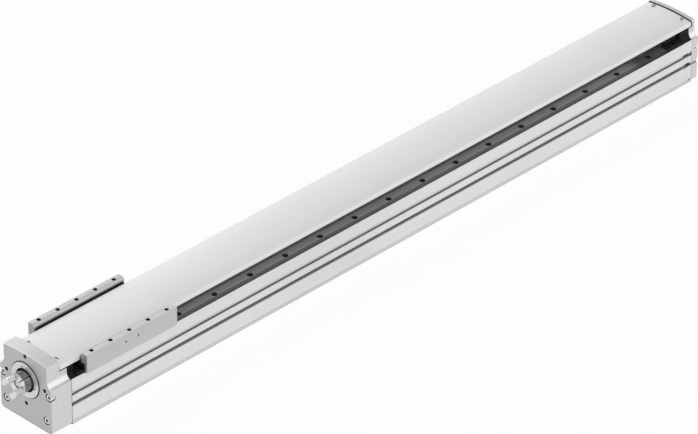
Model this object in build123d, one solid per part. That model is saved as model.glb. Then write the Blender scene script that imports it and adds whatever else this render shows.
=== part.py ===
from build123d import *
import math
import os

# Ball screw linear axis, in millimetres. X runs along the axis from the drive end to the far end,
# Y across it and Z up. The origin is on the bottom face, at the middle of the profile.

# Travel and lengths
stroke = 900.0
slide_length = 144.0
end_reserve = 19.5
drive_cap_length = 31.6
far_cap_length = 11.0

# Body section
body_width = 88.0
body_side_height = 63.2
bottom_radius = 2.2
screw_axis_drop = 5.7
seat_drop = 0.8
seat_lip_width = 1.0
upper_bay_wall = 8.8
upper_bay_depth = 11.6
screw_bay_half_width = 20.5
screw_bay_depth = 26.7

# Side slots, bottom slots and hollow chambers of the profile
groove_slot_drop = 22.7
groove_slot_opening = 5.9
groove_slot_depth = 2.4
groove_slot_edge_width = 1.0
groove_slot_edge_depth = 3.6
nut_slot_height = 28.5
nut_slot_opening = 5.4
nut_slot_lip = 2.0
nut_slot_inside = 9.6
nut_slot_inside_depth = 4.0
bottom_slot_spacing = 54.0
mark_groove_height = 4.9
mark_groove_width = 1.4
mark_groove_depth = 0.8
chamber_wall = 3.0
slot_wall = 3.5
side_chamber_bottom = 24.0
side_chamber_roof = 4.0
centre_chamber_bottom = 8.0
chamber_radius = 1.5
pocket_end_distance = 3.6
pocket_length = 11.0
pocket_depth = 7.5

# Guide rails
rail_share = 0.54
rail_side_clearance = 0.2
rail_flange_height = 6.6
rail_leg_clearance = 0.2
rail_pitch = 59.07
rail_last_hole = 80.0
rail_start_distance = 28.35
rail_shortest_overhang = 0.2
rail_hole_from_edge = 4.3
rail_head_radius = 3.8
rail_head_depth = 4.2
rail_bore_radius = 2.15
rail_thread_depth = 8.4
raceway_radius = 1.7
raceway_drops = (4.0, 12.0)
filler_gap = 0.4
filler_drop = 0.6
filler_side_gap = 0.3
stop_block_lengths = (9.0, 17.0)
stop_block_gap = 0.4

# Fasteners
m4_head_radius = 3.5
m4_head_height = 2.8
m4_shank_radius = 1.95
m6_head_radius = 5.0
m6_head_height = 6.0
m6_shank_radius = 2.95
counterbore_radius = 5.5
counterbore_depth = 6.4
thread_clearance = 0.05
bore_clearance = 0.2
cap_screw_engagement = 16.0
low_screw_inset = 9.8
low_screw_height = 16.2
high_screw_inset = 4.8
high_screw_drop = 12.6

# End caps
raised_inset = 7.1
shoulder_radius = 8.5
shoulder_rise = 7.8
drive_top_rise = 6.9
drive_arch_rise = 2.8
far_top_rise = 1.3
cap_corner_chamfer = 3.4
cap_joint_chamfer = 0.5
far_cap_corner_radius = 1.4
drive_ledge = 12.0
far_ledge = 5.7
far_tongue = 8.0

# Cover
cover_over_plate = 0.7
cover_side_height = 6.6
cover_arch_rise = 2.5
cover_wall = 2.6
cover_corner_radius = 2.0
cover_lower_radius = 1.2
cover_clearance = 0.15
cover_end_clearance = 0.6
cover_side_gap = 0.6
cover_screw_spacing = 48.0
cover_screw_inset = 6.0
cover_screw_far_offset = -0.9
countersink_radius = 4.1
cover_screw_sink = 0.9
cover_screw_fit = 0.02
gasket_thickness = 1.5
gasket_stand = 0.4
cover_thread_base = 0.6

# Drive interface
flange_circle_radius = 32.5
flange_thread_radius = 2.5
flange_thread_depth = 12.0
ring_outer_radius = 23.0
ring_bore_radius = 15.5
ring_depth = 7.3
ring_stand = 1.0
ring_groove_width = 1.1
ring_groove_depth = 2.4
spanner_circle_radius = 17.3
spanner_hole_radius = 1.2
spanner_hole_depth = 4.0
ring_clearance = 0.1

# Fixed bearing, floating bearing, lock nut and coupling hub
fixed_bearing_outer = 18.5
fixed_bearing_bore = 6.0
fixed_bearing_width = 19.0
bearing_ring_wall = 3.4
race_gap = 0.3
float_bearing_outer = 11.0
float_bearing_bore = 5.0
float_bearing_width = 6.0
float_ring_wall = 1.7
float_bearing_inset = 1.0
shaft_fit = 0.02
cap_shoulder_bore = 10.0
lock_nut_radius = 11.0
lock_nut_thickness = 6.2
lock_nut_notch = 3.0
circlip_thickness = 1.0
circlip_height = 1.6
circlip_opening = 3.0
shaft_tip = 0.4
shaft_end_room = 2.0
shaft_chamfer = 0.6
hub_radius = 13.0
hub_body_length = 14.0
hub_jaw_length = 12.5
hub_jaw_inner_radius = 6.4
hub_jaw_angle = 78.0
hub_turn = 42.0
hub_gap = 0.3
hub_slit = 1.2
hub_screw_radius = 1.5
hub_screw_offset = 9.3

# Ball screw and nut
screw_radius = 7.5
screw_lead = 10.0
journal_radius = 6.0
drive_end_radius = 5.0
drive_end_recess = 1.0
nut_clearance = 0.08
nut_radius = 12.0
nut_length = 44.0
nut_flange_radius = 17.5
nut_flange_thickness = 8.0
nut_flange_flat = 13.1
nut_screw_circle = 14.7
nut_screw_radius = 1.45
nut_screw_head_radius = 2.5
nut_screw_head_height = 1.8

# Carriage
plate_over_rail = 2.0
plate_thickness = 6.0
bar_height = 13.0
bar_cover_gap = 3.1
skirt_width = 3.6
skirt_over_body = 2.4
bar_round = 4.0
bar_seat_gap = 0.2
mount_hole_pitch = 30.0
mount_hole_count = 5
mount_thread_radius = 2.5
mount_thread_depth = 11.0
hole_chamfer = 0.25
bar_screw_inset = 7.1
wiper_cover_gap = 0.4
wiper_height = 7.8
wiper_end_inset = 3.0
bar_screw_head_radius = 2.75
bar_screw_head_height = 2.6
bar_screw_radius = 1.45
lube_hole_drop = 9.6
lube_hole_offset = 9.9
lube_hole_radius = 1.25
lube_hole_depth = 5.0
lube_recess = 0.6
runner_middle_gap = 2.0
runner_end_distance = 32.0
runner_gap = 0.5
runner_inner_y = 19.6
runner_over_floor = 1.4
runner_cap_thickness = 6.0
runner_return_depth = 5.4
runner_screw_end_distance = 6.5
runner_thread_depth = 3.4
housing_length = 36.0
housing_half_width = 19.0
housing_over_floor = 4.0
housing_thread_depth = 8.4
nut_thread_depth = 10.0
bar_thread_depth = 7.0
thread_end_room = 0.3
housing_screw_y = 15.4
housing_screw_first = 15.0
housing_screw_spacing = 15.0
buffer_radius = 2.8
buffer_length = 15.0
buffer_chamfer = 0.8

# Places that follow from the sizes above
profile_length = stroke + slide_length + 2 * end_reserve
half_body = body_width / 2
half_raised = half_body - raised_inset
half_slide = half_body + skirt_over_body + skirt_width
bar_inner_y = half_raised + bar_cover_gap
bar_width = half_slide - bar_inner_y
upper_bay_half_width = half_body - upper_bay_wall
side_chamber_inner = screw_bay_half_width + chamber_wall
side_chamber_outer = half_body - nut_slot_lip - nut_slot_inside_depth - slot_wall
drive_end = -profile_length / 2
far_end = profile_length / 2
drive_front = drive_end - drive_cap_length
far_back = far_end + far_cap_length
screw_axis_height = body_side_height - screw_axis_drop
upper_bay_floor = body_side_height - upper_bay_depth
screw_bay_floor = body_side_height - screw_bay_depth
groove_slot_bottom = body_side_height - groove_slot_drop
side_chamber_top = upper_bay_floor - side_chamber_roof
high_screw_height = body_side_height - high_screw_drop
shoulder_height = body_side_height + shoulder_rise
seat_height = body_side_height - seat_drop
rail_top = seat_height + rail_flange_height
raceway_heights = [rail_top - drop for drop in raceway_drops]
rail_outer = half_body - seat_lip_width - rail_side_clearance
rail_inner = rail_outer - rail_share * (rail_outer - runner_inner_y)
rail_leg_outer = upper_bay_half_width - rail_side_clearance
rail_leg_bottom = upper_bay_floor + rail_leg_clearance
rail_hole_y = rail_outer - rail_hole_from_edge
rail_end = far_end - rail_last_hole + rail_pitch / 2
rail_start = drive_end + rail_start_distance
rail_hole_count = int((rail_end - rail_start) / rail_pitch + 0.5 - rail_shortest_overhang)
slide_start = drive_end + end_reserve
slide_end = slide_start + slide_length
slide_centre = (slide_start + slide_end) / 2
plate_bottom = rail_top + plate_over_rail
plate_top = plate_bottom + plate_thickness
slide_top = plate_top + bar_height
skirt_bottom = body_side_height + skirt_over_body
cover_bottom_height = plate_top + cover_over_plate
cover_edge_height = cover_bottom_height + cover_side_height
drive_top_height = cover_edge_height + drive_top_rise
far_top_height = cover_edge_height + far_top_rise
mount_hole_spacing = 2 * half_slide - bar_width
bar_screw_y = half_slide - bar_screw_inset
runner_length = (slide_length - runner_middle_gap) / 2 - runner_end_distance - runner_cap_thickness
runner_screw_spacing = runner_length - 2 * runner_screw_end_distance
lube_hole_height = slide_top - lube_hole_drop
runner_bottom = upper_bay_floor + runner_over_floor
housing_bottom = screw_bay_floor + housing_over_floor
buffer_height = (plate_bottom + plate_top) / 2
runner_outer_y = rail_inner - runner_gap
runner_mid_y = (runner_inner_y + runner_outer_y) / 2
raceway_y = (rail_inner + runner_outer_y) / 2
bearing_face = drive_front + ring_depth
bearing_back = bearing_face + fixed_bearing_width
hub_back = drive_front + drive_end_recess - hub_gap
hub_front = hub_back - hub_body_length
float_face = far_end + float_bearing_inset
float_back = float_face + float_bearing_width
low_screw_y = half_body - low_screw_inset
high_screw_y = half_body - high_screw_inset
drive_cap_screw_seat = drive_front + counterbore_depth
far_cap_screw_seat = far_back - counterbore_depth
cover_start = drive_end - drive_ledge + cover_end_clearance
cover_end = far_end + far_ledge - gasket_thickness


def block(x0, x1, y0, y1, z0, z1):
    return Pos((x0 + x1) / 2, (y0 + y1) / 2, (z0 + z1) / 2) * Box(x1 - x0, y1 - y0, z1 - z0)


def along_x(section, x0, x1):
    return Pos(x0, 0, 0) * extrude(Plane.YZ * section, amount=x1 - x0)


def rod_x(radius, x0, x1, y=0.0, z=screw_axis_height):
    return along_x(Pos(y, z) * Circle(radius), x0, x1)


def tube_x(outer, inner, x0, x1, y=0.0, z=screw_axis_height):
    return along_x(Pos(y, z) * (Circle(outer) - Circle(inner)), x0, x1)


def rod_z(radius, x, y, z0, z1):
    return Pos(x, y, (z0 + z1) / 2) * Cylinder(radius, z1 - z0)


def rod_y(radius, x, z, y0, y1):
    return Pos(x, (y0 + y1) / 2, z) * Rot(90, 0, 0) * Cylinder(radius, abs(y1 - y0))


def rect(y0, y1, z0, z1):
    return Pos((y0 + y1) / 2, (z0 + z1) / 2) * Rectangle(abs(y1 - y0), abs(z1 - z0))


def arch_height(y, edge, rise, half_width):
    radius = (half_width ** 2 + rise ** 2) / (2 * rise)
    return edge + rise - radius + math.sqrt(radius ** 2 - y ** 2)


# Points of a row of holes along X
def cap_screw_places():
    return [(s * y, z) for y, z in ((low_screw_y, low_screw_height), (high_screw_y, high_screw_height))
            for s in (1, -1)]


def rail_hole_places():
    return [rail_end - (i + 0.5) * rail_pitch for i in range(rail_hole_count)]


def mount_hole_places():
    first = slide_centre - mount_hole_pitch * (mount_hole_count - 1) / 2
    return [first + i * mount_hole_pitch for i in range(mount_hole_count)]


def bar_screw_places():
    return [x + mount_hole_pitch / 2 for x in mount_hole_places()[:-1]]


def runner_starts():
    return (slide_start + runner_end_distance, slide_end - runner_end_distance - runner_length)


# Extruded profile with rail seats, screw bay, slots and chambers
def profile_section():
    outline = rect(-half_body, half_body, 0, body_side_height)
    outline = fillet(outline.vertices().group_by(Axis.Y)[0], bottom_radius)
    seat_edge = half_body - seat_lip_width
    outline -= rect(-seat_edge, seat_edge, seat_height, body_side_height + 1)
    outline -= rect(-upper_bay_half_width, upper_bay_half_width, upper_bay_floor, body_side_height + 1)
    outline -= rect(-screw_bay_half_width, screw_bay_half_width, screw_bay_floor, body_side_height)
    for side in (1, -1):
        outer = side * half_body
        groove_slot_top = groove_slot_bottom + groove_slot_opening
        outline -= rect(outer, outer - side * groove_slot_depth, groove_slot_bottom, groove_slot_top)
        for edge in (groove_slot_bottom, groove_slot_top - groove_slot_edge_width):
            outline -= rect(outer, outer - side * groove_slot_edge_depth, edge, edge + groove_slot_edge_width)
        lip = outer - side * nut_slot_lip
        outline -= rect(outer, lip, nut_slot_height - nut_slot_opening / 2,
                        nut_slot_height + nut_slot_opening / 2)
        outline -= rect(lip, lip - side * nut_slot_inside_depth, nut_slot_height - nut_slot_inside / 2,
                        nut_slot_height + nut_slot_inside / 2)
        outline -= make_face(Polyline((outer, mark_groove_height - mark_groove_width / 2),
                                      (outer, mark_groove_height + mark_groove_width / 2),
                                      (outer - side * mark_groove_depth, mark_groove_height), close=True))
        slot_y = side * bottom_slot_spacing / 2
        outline -= rect(slot_y - nut_slot_opening / 2, slot_y + nut_slot_opening / 2, 0, nut_slot_lip)
        outline -= rect(slot_y - nut_slot_inside / 2, slot_y + nut_slot_inside / 2,
                        nut_slot_lip, nut_slot_lip + nut_slot_inside_depth)
        chamber = rect(side * side_chamber_inner, side * side_chamber_outer, side_chamber_bottom,
                       side_chamber_top)
        outline -= fillet(chamber.vertices(), chamber_radius)
    centre = rect(-screw_bay_half_width + chamber_wall, screw_bay_half_width - chamber_wall,
                  centre_chamber_bottom, screw_bay_floor - chamber_wall)
    outline -= fillet(centre.vertices(), chamber_radius)
    for y, z in cap_screw_places():
        outline -= Pos(y, z) * Circle(m6_shank_radius + thread_clearance)
    return outline


def base_profile():
    body = along_x(profile_section(), drive_end, far_end)
    tools = []
    for side in (1, -1):
        for x in rail_hole_places() + filler_hole_places():
            tools.append(rod_z(m4_shank_radius + thread_clearance, x, side * rail_hole_y,
                               seat_height - rail_thread_depth, seat_height + 1))
        outer = side * (half_body + 1)
        inner = side * (half_body - pocket_depth)
        x1 = far_end - pocket_end_distance
        x0 = x1 - pocket_length
        low, high = sorted((outer, inner))
        tools.append(block(x0, x1, low, high, groove_slot_bottom, groove_slot_bottom + groove_slot_opening))
        tools.append(block(x0, x1 - 3, low, high, nut_slot_height - nut_slot_opening / 2 - 0.8,
                           nut_slot_height + nut_slot_opening / 2 + 0.8))
        tools.append(rod_y(mark_groove_width, x1, mark_groove_height + 0.4, low, high))
    return body - tools


# L-shaped guide rail with two ball raceways on its inner face
def rail(side):
    flange = rect(side * rail_inner, side * rail_outer, seat_height, rail_top)
    leg = rect(side * rail_inner, side * rail_leg_outer, rail_leg_bottom, seat_height)
    section = flange + leg
    section = chamfer(section.vertices().group_by(Axis.Y)[-1], 0.5)
    for z in raceway_heights:
        section -= Pos(side * raceway_y, z) * Circle(raceway_radius)
    body = along_x(section, rail_start, rail_end)
    tools = []
    for x in rail_hole_places():
        tools.append(rod_z(rail_bore_radius, x, side * rail_hole_y, seat_height - 1, rail_top))
        tools.append(rod_z(rail_head_radius, x, side * rail_hole_y, rail_top - rail_head_depth, rail_top + 1))
    return body - tools


def flange_screws(places, seat):
    screws = []
    tip = seat_height - rail_thread_depth + thread_end_room
    for side in (1, -1):
        for x in places:
            y = side * rail_hole_y
            screw = rod_z(m4_head_radius, x, y, seat, seat + m4_head_height)
            screws.append(screw + rod_z(m4_shank_radius, x, y, tip, seat))
    return screws


def rail_screws():
    return flange_screws(rail_hole_places(), rail_top - rail_head_depth)


# Plastic blocks that fill the rail seats between the rails and the end caps
def stop_spans():
    near, far = drive_end + filler_gap, far_end - filler_gap
    return ((near, near + stop_block_lengths[0]), (far - stop_block_lengths[1], far))


def filler_spans():
    return ((stop_spans()[0][1], rail_start - filler_gap), (rail_end + filler_gap, stop_spans()[1][0]))


def filler_hole_places():
    return [(x0 + x1) / 2 for x0, x1 in filler_spans()]


def rail_filler(index):
    x0, x1 = filler_spans()[index]
    x = filler_hole_places()[index]
    top = rail_top - filler_drop
    blocks = []
    for side in (1, -1):
        inner = side * (rail_inner + filler_side_gap)
        section = rect(inner, side * rail_outer, seat_height, top)
        section += rect(inner, side * rail_leg_outer, rail_leg_bottom, seat_height)
        section = chamfer(section.vertices().group_by(Axis.Y)[-1], 0.5)
        body = along_x(section, x0, x1)
        body -= rod_z(rail_bore_radius, x, side * rail_hole_y, seat_height - 1, top)
        blocks.append(body - rod_z(rail_head_radius, x, side * rail_hole_y, top - rail_head_depth, top + 1))
    return blocks


# Blocks between the fillers and the caps, as high as the cover's lower edge, with the caps' flanks
def stop_blocks(index):
    x0, x1 = stop_spans()[index]
    blocks = []
    for side in (1, -1):
        inner = side * (rail_inner + filler_side_gap)
        section = rect(inner, side * rail_outer, seat_height, cover_bottom_height - stop_block_gap)
        section &= cap_outline(drive_top_height, drive_arch_rise)
        section += rect(inner, side * rail_leg_outer, rail_leg_bottom, seat_height)
        blocks.append(along_x(section, x0, x1))
    return blocks


def filler_screws():
    return flange_screws(filler_hole_places(), rail_top - filler_drop - rail_head_depth)


# Common outline of both end caps: body width below, narrower raised part with concave flanks
def cap_outline(top, rise, corner=0):
    body = rect(-half_body, half_body, 0, shoulder_height)
    body = chamfer(body.vertices().group_by(Axis.Y)[0], cap_corner_chamfer)
    for side in (1, -1):
        centre = side * (half_raised + shoulder_radius)
        body -= Pos(centre, shoulder_height) * Circle(shoulder_radius)
        body -= rect(centre, side * (half_body + 1), shoulder_height - shoulder_radius, shoulder_height + 1)
    raised = arched_block(half_raised, shoulder_height - 1, top, rise)
    if corner:
        raised = fillet([v for v in raised.vertices() if v.Y > top - 0.1], corner)
    return body + raised


def arched_block(half_width, bottom, edge, rise):
    sides = Polyline((-half_width, edge), (-half_width, bottom), (half_width, bottom), (half_width, edge))
    top = ThreePointArc((half_width, edge), (0, edge + rise), (-half_width, edge))
    return make_face(sides + top)


def tongue_section(bottom):
    half_width = half_raised - cover_wall - cover_clearance
    drop = cover_wall + cover_clearance
    edge = arch_height(half_width, cover_edge_height, cover_arch_rise, half_raised) - drop
    rise = cover_edge_height + cover_arch_rise - drop - edge
    return arched_block(half_width, bottom, edge, rise)


def ledge_cut(x0, x1, top):
    around = rect(-half_body, half_body, cover_bottom_height - cover_side_gap, top + 5)
    return along_x(around - tongue_section(cover_bottom_height - 1), x0, x1)


def screw_recess(x_face, inward, y, z):
    seat = x_face + inward * counterbore_depth
    x0, x1 = sorted((x_face - inward, seat))
    head = rod_x(counterbore_radius, x0, x1, y, z)
    reach = drive_cap_length + 2
    x0, x1 = sorted((seat, seat + inward * reach))
    return head + rod_x(m6_shank_radius + bore_clearance, x0, x1, y, z)


def drive_cap():
    body = along_x(cap_outline(drive_top_height, drive_arch_rise), drive_front, drive_end)
    body = chamfer(body.faces().sort_by(Axis.X)[-1].edges(), cap_joint_chamfer)
    body -= ledge_cut(drive_end - drive_ledge, drive_end + 1, drive_top_height)
    body = chamfer(body.faces().sort_by(Axis.X)[0].edges(), 0.4)
    body -= rod_x(ring_outer_radius + ring_clearance, drive_front - 1, bearing_face)
    body -= rod_x(ring_outer_radius + ring_groove_width, drive_front - 1, drive_front + ring_groove_depth)
    body -= rod_x(fixed_bearing_outer + shaft_fit, bearing_face - 1, bearing_back)
    body -= rod_x(cap_shoulder_bore, bearing_back - 1, drive_end + 1)
    tools = [screw_recess(drive_front, 1, y, z) for y, z in cap_screw_places()]
    for i in range(4):
        angle = math.radians(90 * i)
        y = flange_circle_radius * math.cos(angle)
        z = screw_axis_height + flange_circle_radius * math.sin(angle)
        tools.append(rod_x(flange_thread_radius, drive_front - 1, drive_front + flange_thread_depth, y, z))
        mouth = Pos(drive_front + hole_chamfer / 2, y, z) * Rot(0, -90, 0)
        tools.append(mouth * Cone(flange_thread_radius, flange_thread_radius + hole_chamfer, hole_chamfer))
    tools += cover_screw_holes(drive_end - drive_ledge + cover_screw_inset)
    return body - tools


def far_cap():
    outline = cap_outline(far_top_height, cover_arch_rise, far_cap_corner_radius)
    body = along_x(outline, far_end, far_back)
    body = chamfer(body.faces().sort_by(Axis.X)[0].edges(), cap_joint_chamfer)
    body -= ledge_cut(far_end - 1, far_end + far_ledge, far_top_height)
    tongue = tongue_section(cover_bottom_height + 0.3)
    body += along_x(tongue, far_end - far_tongue, far_end + 1)
    tools = [screw_recess(far_back, -1, y, z) for y, z in cap_screw_places()]
    tools.append(rod_x(float_bearing_outer + shaft_fit, far_end - 1, float_back))
    tools.append(rod_x(float_bearing_bore + circlip_height + 1, float_back - 1,
                       float_back + shaft_end_room))
    for side in (1, -1):
        low, high = sorted((side * (half_body - nut_slot_lip), side * (half_body + 1)))
        tools.append(block(far_end - 1, far_back + 1, low, high, nut_slot_height - nut_slot_opening / 2,
                           nut_slot_height + nut_slot_opening / 2))
    tools += cover_screw_holes(far_end + cover_screw_far_offset)
    return body - tools


def cap_screws(x_face, inward, cap_length):
    seat = x_face + inward * counterbore_depth
    tip = x_face + inward * (cap_length + cap_screw_engagement)
    screws = []
    for y, z in cap_screw_places():
        x0, x1 = sorted((seat, seat - inward * m6_head_height))
        socket = along_x(Pos(y, z) * RegularPolygon(2.9, 6), seat - inward * m6_head_height / 2,
                         x_face - inward)
        head = rod_x(m6_head_radius, x0, x1, y, z) - socket
        x0, x1 = sorted((seat, tip))
        screws.append(head + rod_x(m6_shank_radius, x0, x1, y, z))
    return screws


# Arched cover: a thin shell that hooks down on both sides
def cover_section():
    outer = cover_outline()
    half_width = half_raised - cover_wall
    edge = arch_height(half_width, cover_edge_height, cover_arch_rise, half_raised) - cover_wall
    rise = cover_edge_height + cover_arch_rise - cover_wall - edge
    section = outer - arched_block(half_width, cover_bottom_height - 1, edge, rise)
    return section


def cover_screw_centres(x):
    return [(x, side * cover_screw_spacing / 2) for side in (1, -1)]


def cover_screw_holes(x):
    return [rod_z(m4_shank_radius + thread_clearance, x, y, cover_bottom_height + cover_thread_base,
                  cover_edge_height + cover_arch_rise + 1)
            for x, y in cover_screw_centres(x)]


def countersunk_cone(x, y, shank, sink, grow):
    # a 90 degree cone whose top is sunk below the arch at y
    surface = arch_height(abs(y), cover_edge_height, cover_arch_rise, half_raised)
    head = countersink_radius - sink + grow
    top = surface - sink
    return Pos(x, y, top - (head - shank) / 2) * Cone(shank, head, head - shank), top - head + shank


def countersunk_screw(x, y):
    cone, neck = countersunk_cone(x, y, m4_shank_radius, cover_screw_sink, -cover_screw_fit)
    tip = cover_bottom_height + cover_thread_base + thread_end_room
    return cone + rod_z(m4_shank_radius, x, y, tip, neck)


def cover_screw_rows():
    return (drive_end - drive_ledge + cover_screw_inset, far_end + cover_screw_far_offset)


def top_cover():
    body = along_x(cover_section(), cover_start, cover_end)
    tools = []
    for row in cover_screw_rows():
        for x, y in cover_screw_centres(row):
            cone, neck = countersunk_cone(x, y, m4_shank_radius + bore_clearance, 0, 0)
            tools.append(cone)
            tools.append(rod_z(m4_shank_radius + bore_clearance, x, y, cover_bottom_height, neck + 0.1))
            tools.append(rod_z(countersink_radius, x, y,
                               arch_height(abs(y), cover_edge_height, cover_arch_rise, half_raised) - 0.01,
                               cover_edge_height + cover_arch_rise + 1))
    return body - tools


def cover_screws():
    return [countersunk_screw(x, y) for row in cover_screw_rows() for x, y in cover_screw_centres(row)]


def far_gasket():
    section = offset(cover_outline(), gasket_stand)
    section -= tongue_section(cover_bottom_height - 2)
    section -= rect(-half_body, half_body, 0, cover_bottom_height - gasket_stand)
    return along_x(section, cover_end, cover_end + gasket_thickness)


def cover_outline():
    # the solid shape that the cover and its gasket share, with rounded corners
    outer = arched_block(half_raised, cover_bottom_height, cover_edge_height, cover_arch_rise)
    outer = fillet([v for v in outer.vertices() if v.Y > cover_edge_height - 0.1], cover_corner_radius)
    return fillet(outer.vertices().group_by(Axis.Y)[0], cover_lower_radius)


# Bearings and the ring that holds the fixed bearing
def bearing_retaining_ring():
    front = drive_front - ring_stand
    body = tube_x(ring_outer_radius, ring_bore_radius, front, bearing_face)
    for i in range(3):
        angle = math.radians(76 + 120 * i)
        body -= rod_x(spanner_hole_radius, front - 1, front + spanner_hole_depth,
                      spanner_circle_radius * math.cos(angle),
                      screw_axis_height + spanner_circle_radius * math.sin(angle))
    return body


def fixed_bearing_outer_ring():
    return tube_x(fixed_bearing_outer, fixed_bearing_outer - bearing_ring_wall, bearing_face, bearing_back)


def fixed_bearing_inner_ring():
    bore = fixed_bearing_bore + shaft_fit
    return tube_x(fixed_bearing_bore + bearing_ring_wall, bore, bearing_face, bearing_back)


def fixed_bearing_cage():
    inner = fixed_bearing_bore + bearing_ring_wall + race_gap
    outer = fixed_bearing_outer - bearing_ring_wall - race_gap
    return tube_x(outer, inner, bearing_face + 1.5, bearing_back - 1.5)


def floating_bearing_outer_ring():
    return tube_x(float_bearing_outer, float_bearing_outer - float_ring_wall, float_face, float_back)


def floating_bearing_inner_ring():
    outer = float_bearing_bore + float_ring_wall
    return tube_x(outer, float_bearing_bore + shaft_fit, float_face, float_back)


def floating_bearing_cage():
    outer = float_bearing_outer - float_ring_wall - race_gap
    return tube_x(outer, float_bearing_bore + float_ring_wall + race_gap, float_face + 1, float_back - 1)


def circlip():
    outer = float_bearing_bore + circlip_height
    ring = tube_x(outer, float_bearing_bore + shaft_fit, float_back, float_back + circlip_thickness)
    half = circlip_opening / 2
    return ring - block(float_back - 1, float_back + circlip_thickness + 1, -half, half,
                        screw_axis_height, screw_axis_height + outer + 1)


# Ball screw with its bearing journals
def ball_screw():
    shoulder_front = bearing_back
    shoulder_back = float_face
    parts = [rod_x(screw_radius, shoulder_front, shoulder_back),
             rod_x(journal_radius, drive_front + drive_end_recess, shoulder_front),
             rod_x(drive_end_radius, hub_front + 1, drive_front + drive_end_recess),
             rod_x(float_bearing_bore, shoulder_back, float_back + circlip_thickness + shaft_tip)]
    body = parts[0] + parts[1:]
    ends = body.faces().sort_by(Axis.X)
    return chamfer([ends[0].edges()[0], ends[-1].edges()[0]], shaft_chamfer)


def lock_nut():
    front = bearing_face - lock_nut_thickness
    body = tube_x(lock_nut_radius, journal_radius + shaft_fit, front, bearing_face)
    for i in range(4):
        angle = 45 + 90 * i
        notch = Pos(lock_nut_radius, 0) * Rectangle(lock_nut_notch, lock_nut_notch)
        body -= along_x(Pos(0, screw_axis_height) * Rot(0, 0, angle) * notch, front - 1, bearing_face + 1)
    return body


# Clamping coupling half with two jaws
def coupling_hub():
    body = tube_x(hub_radius, drive_end_radius + shaft_fit, hub_front, hub_back)
    ring = Circle(hub_radius) - Circle(hub_jaw_inner_radius)
    reach = 2 * hub_radius
    half = math.radians(hub_jaw_angle / 2)
    wedge = make_face(Polyline((0, 0), (reach, reach * math.tan(half)), (reach, -reach * math.tan(half)),
                               close=True))
    jaws = (ring & wedge) + (ring & (Rot(0, 0, 180) * wedge))
    body += along_x(Pos(0, screw_axis_height) * Rot(0, 0, hub_turn) * jaws,
                    hub_front - hub_jaw_length, hub_front + 0.5)
    slit = Pos(0, hub_radius) * Rectangle(hub_slit, 2 * hub_radius - 4)
    body -= along_x(Pos(0, screw_axis_height) * Rot(0, 0, hub_turn) * slit, hub_front - 1, hub_back + 1)
    body -= clamp_screw(m4_shank_radius - 0.4, hub_radius + 2)
    return body


def clamp_screw(radius, reach):
    x = (hub_front + hub_back) / 2
    rod = Cylinder(radius, 2 * reach)
    turned = Pos(x, 0, screw_axis_height) * Rot(hub_turn, 0, 0)
    return turned * Pos(0, 0, hub_screw_offset) * Rot(90, 0, 0) * rod


def hub_clamp_screw():
    return clamp_screw(hub_screw_radius, 8.5)


# Ball nut with its flange, and the housing that carries it
def ball_nut():
    start = slide_centre - nut_length / 2
    body = rod_x(nut_radius, start, start + nut_length)
    flange = Pos(0, screw_axis_height) * Circle(nut_flange_radius)
    flange &= rect(-nut_flange_radius, nut_flange_radius, screw_axis_height - nut_flange_flat,
                   screw_axis_height + nut_flange_flat)
    body += along_x(flange, start - nut_flange_thickness, start)
    body -= rod_x(screw_radius + nut_clearance, start - nut_flange_thickness - 1, start + nut_length + 1)
    tools = [rod_x(nut_screw_radius + 0.1, start - nut_flange_thickness - 1, start + 1, y, z)
             for y, z in nut_screw_places()]
    return body - tools


def nut_screw_places():
    angles = [math.radians(a) for a in (-20, 20, 160, 200)]
    return [(nut_screw_circle * math.cos(a), screw_axis_height + nut_screw_circle * math.sin(a))
            for a in angles]


def nut_screws():
    face = slide_centre - nut_length / 2 - nut_flange_thickness
    screws = []
    for y, z in nut_screw_places():
        head = rod_x(nut_screw_head_radius, face - nut_screw_head_height, face, y, z)
        tip = face + nut_flange_thickness + nut_thread_depth - thread_end_room
        screws.append(head + rod_x(nut_screw_radius, face, tip, y, z))
    return screws


def nut_housing():
    start = slide_centre - nut_length / 2
    body = block(start, start + housing_length, -housing_half_width, housing_half_width,
                 housing_bottom, plate_bottom)
    body = chamfer(body.edges().filter_by(Axis.X).group_by(Axis.Z)[0], 3)
    body -= rod_x(nut_radius + shaft_fit, start - 1, start + housing_length + 1)
    tools = [rod_x(nut_screw_radius + thread_clearance, start - 1, start + nut_thread_depth, y, z)
             for y, z in nut_screw_places()]
    tools += [rod_z(m4_shank_radius + thread_clearance, x, y, plate_bottom - housing_thread_depth,
                    plate_bottom + 1) for side in (1, -1) for x, y in housing_screw_places(side)]
    return body - tools


def housing_screw_places(side):
    first = slide_centre - nut_length / 2 + housing_screw_first
    return [(first + i * housing_screw_spacing, side * housing_screw_y) for i in range(2)]


# Carriage plate that runs under the cover, and the two bars that rise beside it
def carriage_plate():
    half_width = half_slide - skirt_width - bar_seat_gap
    body = block(slide_start, slide_end, -half_width, half_width, plate_bottom, plate_top)
    body = chamfer(body.edges().filter_by(Axis.Z), 1.0)
    tools = []
    for side in (1, -1):
        for x in bar_screw_places():
            tools.append(rod_z(bar_screw_radius + bore_clearance, x, side * bar_screw_y,
                               plate_bottom - 1, plate_top + 1))
            tools.append(rod_z(bar_screw_head_radius + bore_clearance, x, side * bar_screw_y,
                               plate_bottom - 1, plate_bottom + bar_screw_head_height))
        for x, y in runner_screw_places(side) + housing_screw_places(side):
            tools.append(rod_z(m4_shank_radius + bore_clearance, x, y, plate_bottom - 1, plate_top + 1))
            tools.append(rod_z(m4_head_radius + bore_clearance, x, y,
                               plate_top - m4_head_height - 0.2, plate_top + 1))
    return body - tools


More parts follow.
